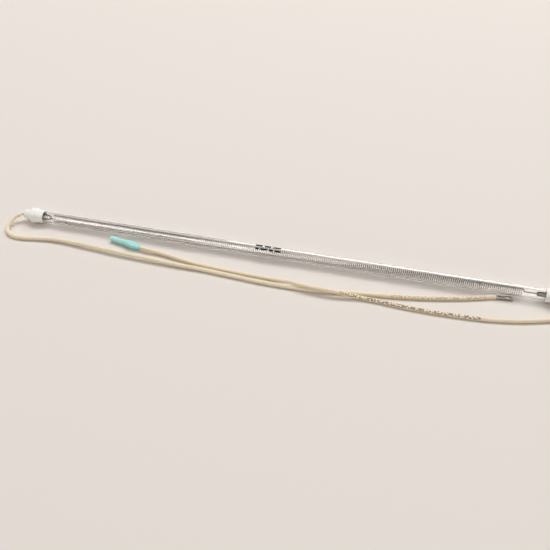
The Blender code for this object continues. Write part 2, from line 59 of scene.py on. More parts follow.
lightSetup = {
    # The room: pale walls up to a low height, dim above and behind on the left
    "wall": (0.68, 0.66, 0.635),
    "wallTop": 0.20,       # sine of the height where the walls start to dim
    "dimTop": 0.34,
    "ceiling": (0.10, 0.10, 0.10),
    "backLeft": 0.35,      # share of the wall's tone that is left there
    "frontWall": (0.90, 0.87, 0.83),
    "frontTurn": 0.3,      # how far each side of the middle it takes to change to that
    "behindLean": 0.12,    # how much of the far side counts in what is behind on the left
    "behindFrom": -0.12,
    "behindTo": 0.02,
    "fillColor": (1.0, 0.99, 0.97),
    "shineColor": (1.0, 0.985, 0.96),
    "lamps": {
        # Large and high behind: the soft shadows towards the camera
        "key": {"place": (-0.36, 2.07, 3.78), "size": (4.3, 1.7), "power": 114.8,
                "kind": "fill"},
        # Lower behind on the right: the longer, paler shadow there
        "low": {"place": (1.75, 2.88, 3.2), "size": (2.9, 1.4), "power": 38.3,
                "kind": "fill"},
        # Overhead: an even fill for what the other lamps leave dark
        "sky": {"place": (0.0, -0.2, 4.0), "size": (6.8, 6.8), "power": 88.0,
                "kind": "fill"},
        # Low behind on the right: the white line on the right half's top edge
        "rim": {"place": (0.58, 2.47, 0.40), "size": (2.2, 0.26), "power": 8.5,
                "kind": "glint"},
        # In front on the left: the bright line along the left half
        "front": {"place": (-1.02, -1.57, 1.82), "size": (1.15, 1.4), "power": 23.3,
                  "kind": "glint"},
        # Higher and lower than that one, where its line grows wider
        "window": {"place": (-0.7, -1.54, 1.85), "size": (0.50, 3.6), "power": 17.0,
                   "kind": "glint"},
        # Overhead: a soft shine on the coil's turns
        "over": {"place": (0.3, -1.38, 1.97), "size": (4.0, 1.9), "power": 38.2,
                 "kind": "gleam"},
        # In front on the right: a dim sheen on the right half's coil
        "side": {"place": (0.75, -2.0, 1.20), "size": (2.2, 0.40), "power": 6.9,
                 "kind": "gleam"},
    },
}

floorSetup = {
    "size": 8.0,
    "color": (0.80, 0.745, 0.70),
    "roughness": 0.9,
    "specular": 0.1,
}

# Leads: the routes are in millimetres as x, y and height above the lowest centreline. Each
# print runs from start to end in metres, and turn is its place round the lead, 0.5 on top.
leadSetup = {
    "diameter": 3.8 * mm,
    "pathStep": 2.0 * mm,
    "lowest": 1.95 * mm,
    "gap": 0.3 * mm,
    "ringStep": 0.42 * mm,
    "sides": 48,
    "yarns": 12,           # yarns each way round the sleeve
    "yarnPitch": 13.0 * mm,
    "relief": 0.055 * mm,
    "mouthDepth": 1.8 * mm,
    "mouthRadius": 1.55 * mm,
    "edge": 0.12 * mm,     # the rounding of the mouth's edge
    "swell": 0.08 * mm,    # how far the braid stands out just past that edge
    "cut": 0.2 * mm,       # the rounding of the cut ends
    "reliefMiddle": 0.75,  # the share of the relief that lies at the lead's radius
    "flare": 0.3 * mm,     # how much wider the braid is at its mouth
    "flareReach": 1.4 * mm,
    "look": 0.6 * mm,      # how far each way the route is read for its direction
}

leftRoute = {
    "side": -1,
    "node": "left_lead",
    "print": {"start": 0.395, "end": 0.48, "turn": 0.6, "strength": 0.35},
    "exit": (-259.81, -1.484, 7.2),
    "exitTurn": 38.0,
    "points": [
        (-263.4, -4.6, 4.9), (-265.6, -8.7, 3.9), (-267.0, -13.5, 2.5), (-266.8, -18.9, 1.0),
        (-263.5, -23.9, 0.15), (-257.1, -27.1, 0.0), (-248.6, -27.6, 0.0), (-234.5, -25.6, 0.2),
        (-217.3, -23.7, 0.7), (-199.7, -24.1, 1.2), (-181.0, -25.5, 1.5), (-162.5, -27.0, 1.6),
        (-143.1, -28.5, 1.6), (-116.1, -29.9, 1.4), (-89.3, -30.9, 0.8), (-70.2, -31.1, 0.3),
        (-41.1, -32.8, 0.0), (-12.7, -34.5, 0.0), (14.9, -35.0, 0.0), (34.0, -34.3, 0.0),
        (59.4, -31.2, 0.0), (94.5, -27.2, 0.0), (112.0, -25.2, 0.0), (129.3, -22.5, 0.0),
        (155.1, -17.4, 0.0), (180.8, -10.6, 0.0),
    ],
    "end": (194.5, -6.9),
    "endHeight": 1.95,
    "endHeading": 6.0,
}

rightRoute = {
    "side": 1,
    "node": "right_lead",
    "print": {"start": 0.107, "end": 0.231, "turn": 0.4, "strength": 0.75},
    "exit": (259.81, -1.484, 7.2),
    "exitTurn": 38.0,
    "points": [
        (264.2, -3.1, 5.2), (268.0, -7.0, 4.2), (268.6, -12.0, 2.4), (265.4, -16.6, 0.6),
        (260.0, -19.2, 0.0), (252.0, -21.2, 0.0), (240.3, -24.2, 0.0), (226.1, -28.3, 0.0),
        (210.2, -32.0, 0.0), (194.3, -34.6, 0.0), (180.0, -36.0, 0.0), (156.3, -36.9, 0.0),
        (130.6, -37.0, 0.0), (113.2, -36.2, 0.0), (95.5, -34.9, 0.0), (84.0, -34.4, 0.1),
        (75.0, -34.5, 0.9), (66.0, -34.9, 2.3), (57.0, -35.2, 3.6), (48.0, -35.2, 4.15),
        (38.0, -34.8, 4.2), (28.0, -34.0, 4.1), (20.5, -33.0, 3.75), (13.0, -31.2, 2.7),
        (3.0, -29.6, 1.0), (-10.0, -28.6, 0.0), (-28.0, -28.0, 0.0), (-42.6, -27.3, 0.0),
        (-57.0, -26.5, 0.0), (-71.6, -25.4, 0.0), (-86.0, -23.4, 0.0), (-101.0, -20.9, 0.3),
        (-113.0, -19.0, 0.8),
    ],
    "end": (-132.706, -17.058),
    "endHeight": 3.6,
    "endHeading": 168.8,
}

markSetup = {
    "middle": -13.0 * mm,
    "length": 28.0 * mm,
    "width": 10.4 * mm,
    "columns": 140,
    "rows": 52,
    "tilt": 45.0,          # degrees, towards the camera
    "out": 9.0 * mm,
    "lift": 0.01 * mm,
    "thickness": 0.02 * mm,
    # In mm: from left to right along the tube, then from low to high across it
    "bars": [
        (-25.0, -18.4, 3.7, 5.0), (-16.6, -10.4, 3.7, 5.0), (-8.6, -1.4, 3.7, 5.0),
        (-25.0, -21.6, 0.4, 2.3), (-20.0, -13.2, 0.4, 2.3), (-11.6, -8.2, 0.4, 2.3),
        (-6.6, -1.4, 0.4, 2.3),
    ],
}

glassSetup = {
    "sides": 128,
    "wall": 1.1 * mm,
    "polish": 0.35 * mm,   # the fire-polished rounding of its ends
    "color": (0.99, 0.988, 0.989),
    "shadow": (0.80, 0.80, 0.797),
    "refraction": 1.46,
    "shine": 1.0,
}

coilSetup = {
    "turns": 245,
    "pitch": 1.8 * mm,
    "outer": 7.5 * mm,
    "wire": 0.70 * mm,
    "pointsPerTurn": 24,
    "wireRoundness": 2,
    "setback": 10.2 * mm,
    "tailRun": 2.4 * mm,
    "tailInCrimp": 2.4 * mm,
    "sag": 0.25 * mm,      # the coil rests on the bottom of the bore
}

capSetup = {
    "sides": 96,
    "length": 20.5 * mm,
    "socket": 5.55 * mm,
    "socketDepth": 9.3 * mm,
    "bore": 1.6 * mm,
    "lip": 6.05 * mm,
    "collar": 6.4 * mm,
    "flange": 7.2 * mm,
    "flangeStart": 7.1 * mm,
    "flangeSlope": 1.1 * mm,
    "shoulder": 12.5 * mm,
    "noseRoot": 4.95 * mm,
    "noseEnd": 4.2 * mm,
    "lipChamfer": 0.25 * mm,
    # How far each edge's rounding reaches
    "roundSteps": 6,
    "boreRound": 0.25 * mm,
    "noseRound": 1.5 * mm,
    "shoulderRound": 0.35 * mm,
    "flangeRound": 0.6 * mm,
    "collarRound": 0.7 * mm,
    "lipRound": 0.5 * mm,
    "mouthRound": 0.2 * mm,
    "socketRound": 0.15 * mm,
    "floorRound": 0.3 * mm,
    "boreRootRound": 0.2 * mm,
    "seam": 0.3 * mm,      # where the outline starts and ends, down the bore
}


def clearSelection():
    if bpy.context.mode != "OBJECT":
        bpy.ops.object.mode_set(mode="OBJECT")
    bpy.ops.object.select_all(action="DESELECT")


def chooseOnly(piece):
    clearSelection()
    piece.select_set(True)
    bpy.context.view_layer.objects.active = piece


def applyModifier(piece, name):
    chooseOnly(piece)
    bpy.ops.object.modifier_apply(modifier=name)


def giveMaterial(piece, surface):
    piece.data.materials.clear()
    piece.data.materials.append(surface)


skinSetup = {
    "merge": 0.002 * mm,
    "turnedMerge": 0.004 * mm,
    "sharp": 50,           # degrees, past which an edge stays sharp
    "braidSharp": 60,
}


def closeSkin(mergeDistance, smoothAngle):
    # Joins doubled points, turns the faces outwards and smooths all but the sharp edges
    bpy.ops.object.mode_set(mode="EDIT")
    bpy.ops.mesh.select_all(action="SELECT")
    bpy.ops.mesh.remove_doubles(threshold=mergeDistance)
    bpy.ops.mesh.normals_make_consistent(inside=False)
    bpy.ops.object.mode_set(mode="OBJECT")
    bpy.ops.object.shade_smooth_by_angle(angle=math.radians(smoothAngle))


def roundedProfile(corners, steps=5):
    # Each corner is (radius, height, rounding); the rounding is how far along each edge it starts
    points = []
    for i, (r, z, rounding) in enumerate(corners):
        here = Vector((r, z))
        if rounding == 0 or i == 0 or i == len(corners) - 1:
            points.append(here)
            continue
        before = Vector(corners[i - 1][:2])
        after = Vector(corners[i + 1][:2])
        reach = min(rounding, (before - here).length * 0.48, (after - here).length * 0.48)
        start = here + (before - here).normalized() * reach
        end = here + (after - here).normalized() * reach
        for k in range(steps + 1):
            t = k / steps
            points.append(start * (1 - t) ** 2 + here * 2 * t * (1 - t) + end * t * t)
    return points


def turnedPiece(name, profile, sides):
    # A ring is extruded from station to station along Z and resized at each one
    clearSelection()
    radius, height = profile[0]
    bpy.ops.mesh.primitive_circle_add(vertices=sides, radius=radius, location=(0, 0, 0))
    piece = bpy.context.object
    piece.name = name
    piece.data.name = name
    bpy.ops.object.mode_set(mode="EDIT")
    bpy.ops.transform.translate(value=(0, 0, height))
    for nextRadius, nextHeight in profile[1:]:
        bpy.ops.mesh.extrude_edges_move(
            TRANSFORM_OT_translate={"value": (0, 0, nextHeight - height)})
        grow = nextRadius / radius
        bpy.ops.transform.resize(value=(grow, grow, 1), center_override=(0, 0, nextHeight))
        radius, height = nextRadius, nextHeight
    closeSkin(skinSetup["turnedMerge"], skinSetup["sharp"])
    return piece


def settle(piece, location, turn):
    # Puts the place and the turn into the mesh, so the object itself sits at the origin
    piece.location = location
    piece.rotation_euler = turn
    chooseOnly(piece)
    bpy.ops.object.transform_apply(location=True, rotation=True, scale=True)
    return piece


def finishPiece(piece, surface, slot, *nodes):
    giveMaterial(piece, surface)
    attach(piece, "root")
    if nodes:
        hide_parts(*nodes)


# Materials

def newMaterial(name):
    made = bpy.data.materials.new(name)
    made.use_nodes = True
    tree = made.node_tree
    return made, tree, tree.nodes["Principled BSDF"]


def rangeNode(tree, value, fromLow, fromHigh, toLow=0.0, toHigh=1.0):
    node = tree.nodes.new("ShaderNodeMapRange")
    node.inputs["From Min"].default_value = fromLow
    node.inputs["From Max"].default_value = fromHigh
    node.inputs["To Min"].default_value = toLow
    node.inputs["To Max"].default_value = toHigh
    tree.links.new(value, node.inputs["Value"])
    return node


def mixColors(tree, factor, first, second):
    # Each colour is either three values or another node's output
    node = tree.nodes.new("ShaderNodeMix")
    node.data_type = "RGBA"
    tree.links.new(factor, node.inputs["Factor"])
    for socket, color in (("A", first), ("B", second)):
        if isinstance(color, tuple):
            node.inputs[socket].default_value = (*color, 1)
        else:
            tree.links.new(color, node.inputs[socket])
    return node.outputs["Result"]


mottleSetup = {
    "detail": 4.0,
    "roughness": 0.6,
    "low": 0.3,
    "high": 0.7,
    "bumpDepth": 0.05 * mm,
    "scatter": (0.003, 0.002, 0.002),    # how far each colour spreads under a soft skin
    "scatterScale": 0.5,
}


def makeMottleGroup():
    # Soft uneven tone between two colours, with its mask for roughness and bump
    group = bpy.data.node_groups.new("mottle", "ShaderNodeTree")
    face = group.interface
    face.new_socket("Vector", in_out="INPUT", socket_type="NodeSocketVector")
    face.new_socket("Scale", in_out="INPUT", socket_type="NodeSocketFloat")
    face.new_socket("Dark", in_out="INPUT", socket_type="NodeSocketColor")
    face.new_socket("Light", in_out="INPUT", socket_type="NodeSocketColor")
    face.new_socket("Color", in_out="OUTPUT", socket_type="NodeSocketColor")
    face.new_socket("Mask", in_out="OUTPUT", socket_type="NodeSocketFloat")
    nodes, links = group.nodes, group.links
    inputs = nodes.new("NodeGroupInput")
    outputs = nodes.new("NodeGroupOutput")
    noise = nodes.new("ShaderNodeTexNoise")
    noise.inputs["Detail"].default_value = mottleSetup["detail"]
    noise.inputs["Roughness"].default_value = mottleSetup["roughness"]
    links.new(inputs.outputs["Vector"], noise.inputs["Vector"])
    links.new(inputs.outputs["Scale"], noise.inputs["Scale"])
    mask = rangeNode(group, noise.outputs["Fac"], mottleSetup["low"],
                     mottleSetup["high"]).outputs["Result"]
    links.new(mixColors(group, mask, inputs.outputs["Dark"], inputs.outputs["Light"]),
              outputs.inputs["Color"])
    links.new(mask, outputs.inputs["Mask"])
    return group


mottleGroup = makeMottleGroup()


def addMottle(tree, scale, dark, light, stretch=(1, 1, 1)):
    coords = tree.nodes.new("ShaderNodeTexCoord")
    mapping = tree.nodes.new("ShaderNodeMapping")
    mapping.inputs["Scale"].default_value = stretch
    mottle = tree.nodes.new("ShaderNodeGroup")
    mottle.node_tree = mottleGroup
    mottle.inputs["Scale"].default_value = scale
    mottle.inputs["Dark"].default_value = (*dark, 1)
    mottle.inputs["Light"].default_value = (*light, 1)
    tree.links.new(coords.outputs["Object"], mapping.inputs["Vector"])
    tree.links.new(mapping.outputs["Vector"], mottle.inputs["Vector"])
    return mottle


def maskTo(tree, mask, low, high, socket):
    tree.links.new(rangeNode(tree, mask, 0.0, 1.0, low, high).outputs["Result"], socket)


def addBump(tree, shader, height, strength, distance):
    bump = tree.nodes.new("ShaderNodeBump")
    bump.inputs["Strength"].default_value = strength
    bump.inputs["Distance"].default_value = distance
    tree.links.new(height, bump.inputs["Height"])
    tree.links.new(bump.outputs["Normal"], shader.inputs["Normal"])


def mottledMaterial(name, values):
    made, tree, shader = newMaterial(name)
    mottle = addMottle(tree, values["scale"], values["dark"], values["light"],
                       values.get("stretch", (1, 1, 1)))
    tree.links.new(mottle.outputs["Color"], shader.inputs["Base Color"])
    maskTo(tree, mottle.outputs["Mask"], values["roughLow"], values["roughHigh"],
           shader.inputs["Roughness"])
    shader.inputs["Metallic"].default_value = values.get("metallic", 0.0)
    shader.inputs["Specular IOR Level"].default_value = values.get("specular", 0.5)
    shader.inputs["Subsurface Weight"].default_value = values.get("subsurface", 0.0)
    shader.inputs["Subsurface Radius"].default_value = mottleSetup["scatter"]
    shader.inputs["Subsurface Scale"].default_value = mottleSetup["scatterScale"]
    if values.get("bump", 0) > 0:
        addBump(tree, shader, mottle.outputs["Mask"], values["bump"], mottleSetup["bumpDepth"])
    # Painted shade on the coil's inner faces, where the values ask for it
    if "inside" in values:
        paintInsideShade(tree, shader, mottle.outputs["Color"], values["inside"])
    return made


def paintInsideShade(tree, shader, color, inside):
    # Painted shade: a near-black tone on what faces the tube's axis, so the far turns seen between
    # the near ones read dark
    coords = tree.nodes.new("ShaderNodeTexCoord")
    around = tree.nodes.new("ShaderNodeVectorMath")
    around.operation = "MULTIPLY_ADD"
    around.inputs[1].default_value = (0, 1, 1)
    around.inputs[2].default_value = (0, 0, -inside["height"])
    reach = tree.nodes.new("ShaderNodeVectorMath")
    reach.operation = "LENGTH"
    tree.links.new(coords.outputs["Object"], around.inputs[0])
    tree.links.new(around.outputs["Vector"], reach.inputs[0])
    ramp = rangeNode(tree, reach.outputs["Value"], inside["low"], inside["high"])
    tree.links.new(mixColors(tree, ramp.outputs["Result"], inside["color"], color),
                   shader.inputs["Base Color"])


finishes = {
    "whiteRubber": {"scale": 260, "dark": (0.955, 0.93, 0.875), "light": (1.0, 0.99, 0.94),
                    "roughLow": 0.42, "roughHigh": 0.55, "subsurface": 0.08, "bump": 0.12},
    "darkRubber": {"scale": 400, "dark": (0.018, 0.017, 0.016), "light": (0.045, 0.042, 0.04),
                   "roughLow": 0.5, "roughHigh": 0.7, "bump": 0.2},
    "paleRubber": {"scale": 500, "dark": (0.62, 0.58, 0.50), "light": (0.78, 0.75, 0.68),
                   "roughLow": 0.45, "roughHigh": 0.6, "bump": 0.1},
    "turquoise": {"scale": 180, "dark": (0.40, 0.82, 0.80), "light": (0.52, 0.92, 0.90),
                  "roughLow": 0.30, "roughHigh": 0.42, "subsurface": 0.12, "bump": 0.1},
    "dullPlated": {"scale": 700, "dark": (0.20, 0.18, 0.155), "light": (0.50, 0.465, 0.41),
                   "roughLow": 0.28, "roughHigh": 0.45, "metallic": 1.0, "bump": 0.15,
                   "stretch": (0.4, 1, 1)},
    "darkPlated": {"scale": 700, "dark": (0.07, 0.062, 0.052), "light": (0.17, 0.155, 0.135),
                   "roughLow": 0.24, "roughHigh": 0.42, "metallic": 1.0, "bump": 0.15,
                   "stretch": (0.4, 1, 1)},
    "plated": {"scale": 700, "dark": (0.26, 0.245, 0.225), "light": (0.50, 0.48, 0.45),
               "roughLow": 0.22, "roughHigh": 0.42, "metallic": 1.0, "bump": 0.15,
               "stretch": (0.4, 1, 1)},
    "coilWire": {"scale": 60, "dark": (0.50, 0.435, 0.40), "light": (0.67, 0.595, 0.555),
                 "roughLow": 0.26, "roughHigh": 0.38, "metallic": 1.0,
                 "stretch": (1, 0.3, 0.3),
                 # inside: painted shade, a near-black tone on the turns' faces towards the axis
                 "inside": {"height": 6.95 * mm, "low": 3.30 * mm, "high": 3.52 * mm,
                            "color": (0.02, 0.018, 0.016)}},
    "bareWire": {"scale": 900, "dark": (0.42, 0.30, 0.20), "light": (0.70, 0.60, 0.50),
                 "roughLow": 0.3, "roughHigh": 0.5, "metallic": 1.0, "bump": 0.3,
                 "stretch": (0.15, 1, 1)},
    "ink": {"scale": 900, "dark": (0.012, 0.012, 0.012), "light": (0.03, 0.03, 0.032),
            "roughLow": 0.5, "roughHigh": 0.7, "specular": 0.15},
}


def makeGlass():
    # Clear quartz; lamps reach the coil through it
    made, tree, shader = newMaterial("quartzGlass")
    shader.inputs["Base Color"].default_value = (*glassSetup["color"], 1)
    shader.inputs["Roughness"].default_value = 0.0
    shader.inputs["IOR"].default_value = glassSetup["refraction"]
    shader.inputs["Specular IOR Level"].default_value = glassSetup["shine"]
    shader.inputs["Transmission Weight"].default_value = 1.0
    path = tree.nodes.new("ShaderNodeLightPath")
    clear = tree.nodes.new("ShaderNodeBsdfTransparent")
    clear.inputs["Color"].default_value = (*glassSetup["shadow"], 1)
    mix = tree.nodes.new("ShaderNodeMixShader")
    output = tree.nodes["Material Output"]
    tree.links.new(path.outputs["Is Shadow Ray"], mix.inputs["Fac"])
    tree.links.new(shader.outputs["BSDF"], mix.inputs[1])
    tree.links.new(clear.outputs["BSDF"], mix.inputs[2])
    tree.links.new(mix.outputs["Shader"], output.inputs["Surface"])
    return made


braidSetup = {
    "yarn": (0.97, 0.86, 0.67),
    # yarnDark: the tone of worn patches, and painted shade in the dips between yarns
    "yarnDark": (0.80, 0.64, 0.42),
    "mark": (0.16, 0.075, 0.035),
    # Wear: soft uneven patches, drawn out along the lead
    "wearScale": 60.0,
    "wearDetail": 5.0,
    "wearAlong": 2.0,
    "wearAround": 0.3,
    # How much of the tone comes from painted shade in the dips between yarns (their relief) and
    # from wear
    "creviceShadeShare": 0.9,
    "wearShare": 1.1,
    "toneLow": 0.25,
    "toneHigh": 1.0,
    # Print: strokes are where the noise is above the cut, in a band round the lead
    "markScale": 520.0,
    "markDetail": 1.0,
    "markAround": 0.011,
    "markCut": 0.50,
    "markBand": 0.13,
    "roughLow": 0.5,
    "roughHigh": 0.8,
    "sheen": 0.25,
    "sheenRoughness": 0.5,
    "bump": 0.5,
    "bumpDepth": 0.12 * mm,
}


def mathNode(tree, operation, first, second=None):
    node = tree.nodes.new("ShaderNodeMath")
    node.operation = operation
    for socket, value in zip(node.inputs, (first, second)):
        if value is None:
            continue
        if isinstance(value, (int, float)):
            socket.default_value = value
        else:
            tree.links.new(value, socket)
    return node.outputs[0]


def noiseAlong(tree, along, around, scale, detail, dimensions):
    noise = tree.nodes.new("ShaderNodeTexNoise")
    noise.noise_dimensions = dimensions
    noise.inputs["Scale"].default_value = scale
    noise.inputs["Detail"].default_value = detail
    place = tree.nodes.new("ShaderNodeCombineXYZ")
    tree.links.new(along, place.inputs["X"])
    tree.links.new(around, place.inputs["Y"])
    tree.links.new(place.outputs["Vector"], noise.inputs["Vector"])
    return noise.outputs["Fac"]


def braidHeight(tree, along, around):
    # Two sets of yarns cross, each over the other in turn
    first = mathNode(tree, "ADD", around, along)
    second = mathNode(tree, "SUBTRACT", around, along)
    cells = mathNode(tree, "ADD", mathNode(tree, "FLOOR", first), mathNode(tree, "FLOOR", second))
    over = mathNode(tree, "MODULO", mathNode(tree, "ABSOLUTE", cells), 2.0)
    under = mathNode(tree, "SUBTRACT", 1.0, over)
    firstRidge = mathNode(tree, "PINGPONG", first, 0.5)
    secondRidge = mathNode(tree, "PINGPONG", second, 0.5)
    return mathNode(tree, "ADD", mathNode(tree, "MULTIPLY", firstRidge, over),
                    mathNode(tree, "MULTIPLY", secondRidge, under))


def printMask(tree, metres, around, marks):
    # Brown strokes, uneven in length, in a band along one side of the top
    b = braidSetup
    inside = mathNode(tree, "MULTIPLY", mathNode(tree, "GREATER_THAN", metres, marks["start"]),
                      mathNode(tree, "LESS_THAN", metres, marks["end"]))
    strokes = noiseAlong(tree, metres, mathNode(tree, "MULTIPLY", around, b["markAround"]),
                         b["markScale"], b["markDetail"], "2D")
    stroke = mathNode(tree, "GREATER_THAN", strokes, b["markCut"])
    aside = mathNode(tree, "ABSOLUTE", mathNode(tree, "SUBTRACT", around, marks["turn"]))
    band = mathNode(tree, "LESS_THAN", aside, b["markBand"])
    mask = mathNode(tree, "MULTIPLY", mathNode(tree, "MULTIPLY", inside, stroke), band)
    return mathNode(tree, "MULTIPLY", mask, marks["strength"])


def makeBraid(name, length, marks):
    # UV: u runs along the lead from 0 to 1, v once round it with 0.5 on top
    b = braidSetup
    made, tree, shader = newMaterial(name)
    uv = tree.nodes.new("ShaderNodeUVMap")
    uv.uv_map = "UVMap"
    split = tree.nodes.new("ShaderNodeSeparateXYZ")
    tree.links.new(uv.outputs["UV"], split.inputs["Vector"])
    u, v = split.outputs["X"], split.outputs["Y"]
    yarns = leadSetup["yarns"]
    pitches = mathNode(tree, "MULTIPLY", u, length / leadSetup["yarnPitch"])
    height = braidHeight(tree, mathNode(tree, "MULTIPLY", pitches, yarns),
                         mathNode(tree, "MULTIPLY", v, yarns))
    wear = noiseAlong(tree, mathNode(tree, "MULTIPLY", u, b["wearAlong"]),
                      mathNode(tree, "MULTIPLY", v, b["wearAround"]),
                      b["wearScale"], b["wearDetail"], "3D")
    # The dark yarn colour is painted shade where the yarns dip and real wear where the noise is
    # low
    tone = mathNode(tree, "ADD", mathNode(tree, "MULTIPLY", height, b["creviceShadeShare"]),
                    mathNode(tree, "MULTIPLY", wear, b["wearShare"]))
    yarnShadeAndWear = rangeNode(tree, tone, b["toneLow"], b["toneHigh"]).outputs["Result"]
    yarnColor = mixColors(tree, yarnShadeAndWear, b["yarnDark"], b["yarn"])
    mask = printMask(tree, mathNode(tree, "MULTIPLY", u, length), v, marks)
    tree.links.new(mixColors(tree, mask, yarnColor, b["mark"]), shader.inputs["Base Color"])
    maskTo(tree, wear, b["roughLow"], b["roughHigh"], shader.inputs["Roughness"])
    shader.inputs["Sheen Weight"].default_value = b["sheen"]
    shader.inputs["Sheen Roughness"].default_value = b["sheenRoughness"]
    addBump(tree, shader, tone, b["bump"], b["bumpDepth"])
    return made


# Camera, lights and floor

def lookAt(thing, place, target):
    thing.location = place
    thing.rotation_euler = (Vector(target) - Vector(place)).to_track_quat("-Z", "Y").to_euler()


def makeCamera():
    turn = math.radians(cameraSetup["azimuth"])
    tilt = math.radians(cameraSetup["elevation"])
    back = Vector((math.sin(turn) * math.cos(tilt), -math.cos(turn) * math.cos(tilt),
                   math.sin(tilt)))
    target = Vector(cameraSetup["target"])
    bpy.ops.object.camera_add()
    camera = bpy.context.object
    camera.name = "photoCamera"
    camera.data.lens = cameraSetup["lens"]
    camera.data.sensor_width = 36.0
    camera.data.clip_start = 0.01
    lookAt(camera, target + back * cameraSetup["distance"], target)
    scene.camera = camera


def makeLamp(name, values):
    # Its long side stays parallel to the tube
    place, kind = values["place"], values["kind"]
    bpy.ops.object.light_add(type="AREA", location=place,
                             rotation=(math.atan2(-place[1], place[2]), 0, 0))
    lamp = bpy.context.object
    lamp.name = name
    lamp.data.shape = "RECTANGLE"
    lamp.data.size, lamp.data.size_y = values["size"]
    lamp.data.energy = values["power"]
    lamp.data.color = lightSetup["fillColor" if kind == "fill" else "shineColor"]
    # Fill gives soft light and shadows, gleam shines on metal, glint shows in the glass too
    lamp.visible_glossy = kind != "fill"
    lamp.visible_diffuse = kind == "fill"
    lamp.visible_transmission = kind == "glint"
    lamp.data.cycles.use_multiple_importance_sampling = kind == "glint"


def makeRoom():
    room = lightSetup
    world = bpy.data.worlds.new("studioWorld")
    world.use_nodes = True
    tree = world.node_tree
    coords = tree.nodes.new("ShaderNodeTexCoord")
    direction = coords.outputs["Generated"]
    split = tree.nodes.new("ShaderNodeSeparateXYZ")
    tree.links.new(direction, split.inputs["Vector"])
    # Behind on the left the wall is darker
    behind = tree.nodes.new("ShaderNodeVectorMath")
    behind.operation = "DOT_PRODUCT"
    behind.inputs[1].default_value = (1.0, room["behindLean"], 0.0)
    tree.links.new(direction, behind.inputs[0])
    far = rangeNode(tree, behind.outputs["Value"], room["behindFrom"], room["behindTo"])
    dim = tuple(tone * room["backLeft"] for tone in room["wall"])
    back = mixColors(tree, far.outputs["Result"], dim, room["wall"])
    # Towards the camera the wall turns paler, by a soft change
    near = rangeNode(tree, split.outputs["Y"], room["frontTurn"], -room["frontTurn"])
    walls = mixColors(tree, near.outputs["Result"], back, room["frontWall"])
    rise = rangeNode(tree, split.outputs["Z"], room["wallTop"], room["dimTop"])
    rise.interpolation_type = "SMOOTHSTEP"
    sky = tree.nodes["Background"]
    tree.links.new(mixColors(tree, rise.outputs["Result"], walls, room["ceiling"]),
                   sky.inputs["Color"])
    sky.inputs["Strength"].default_value = 1.0
    scene.world = world


def makeFloor():
    clearSelection()
    bpy.ops.mesh.primitive_plane_add(size=floorSetup["size"], location=(0, 0, 0))
    floor = bpy.context.object
    floor.name = "paleFloor"
    made, tree, shader = newMaterial("paleFloor")
    shader.inputs["Base Color"].default_value = (*floorSetup["color"], 1)
    shader.inputs["Roughness"].default_value = floorSetup["roughness"]
    shader.inputs["Specular IOR Level"].default_value = floorSetup["specular"]
    giveMaterial(floor, made)


def makeStage():
    makeRoom()
    for name, values in lightSetup["lamps"].items():
        makeLamp(name + "Lamp", values)
    makeFloor()
    print("stage ready")


# Leads

def smoothCurve(knots, perSpan=24):
    # Centripetal Catmull-Rom curve through the route's own points
    path = [knots[0] * 2 - knots[1]] + list(knots) + [knots[-1] * 2 - knots[-2]]
    dense = []
    for p0, p1, p2, p3 in zip(path, path[1:], path[2:], path[3:]):
        t1 = (p1 - p0).length ** 0.5
        t2 = t1 + (p2 - p1).length ** 0.5
        t3 = t2 + (p3 - p2).length ** 0.5
        for i in range(perSpan):
            t = t1 + (t2 - t1) * i / perSpan
            a1 = p0 * ((t1 - t) / t1) + p1 * (t / t1)
            a2 = p1 * ((t2 - t) / (t2 - t1)) + p2 * ((t - t1) / (t2 - t1))
            a3 = p2 * ((t3 - t) / (t3 - t2)) + p3 * ((t - t2) / (t3 - t2))
            b1 = a1 * ((t2 - t) / t2) + a2 * (t / t2)
            b2 = a2 * ((t3 - t) / (t3 - t1)) + a3 * ((t - t1) / (t3 - t1))
            dense.append(b1 * ((t2 - t) / (t2 - t1)) + b2 * ((t - t1) / (t2 - t1)))
    dense.append(knots[-1].copy())
    return dense


def leadPath(route):
    radius = leadSetup["diameter"] / 2
    turn = math.radians(route["exitTurn"])
    heading = Vector((route["side"] * math.cos(turn), -math.sin(turn), 0))
    start = Vector(route["exit"]) * mm + heading * leadSetup["gap"]
    knots = [start, start + heading * radius]
    for x, y, rise in route["points"]:
        knots.append(Vector((x * mm, y * mm, leadSetup["lowest"] + rise * mm)))
    angle = math.radians(route["endHeading"])
    last = Vector((route["end"][0], route["end"][1], route["endHeight"])) * mm
    straight = Vector((math.cos(angle), math.sin(angle), 0)) * leadSetup["diameter"]
    return np.array([tuple(p) for p in smoothCurve(knots + [last - straight, last])])


def samplePath(path, distances):
    steps = np.linalg.norm(np.diff(path, axis=0), axis=1)
    marks = np.concatenate([[0.0], np.cumsum(steps)])
    return np.stack([np.interp(distances, marks, path[:, k]) for k in range(3)], axis=1)


def pathLength(path):
    return float(np.linalg.norm(np.diff(path, axis=0), axis=1).sum())


def braidRelief(along, around):
    # Height of the yarns, from 0 between them to 1 on a crown
    yarns = leadSetup["yarns"]
    turns = along / leadSetup["yarnPitch"] * yarns
    first = around * yarns + turns
    second = around * yarns - turns
    over = np.mod(np.floor(first) + np.floor(second), 2)
    crown = np.where(over > 0.5, np.sin(np.mod(first, 1) * math.pi),
                     np.sin(np.mod(second, 1) * math.pi))
    return np.abs(crown)


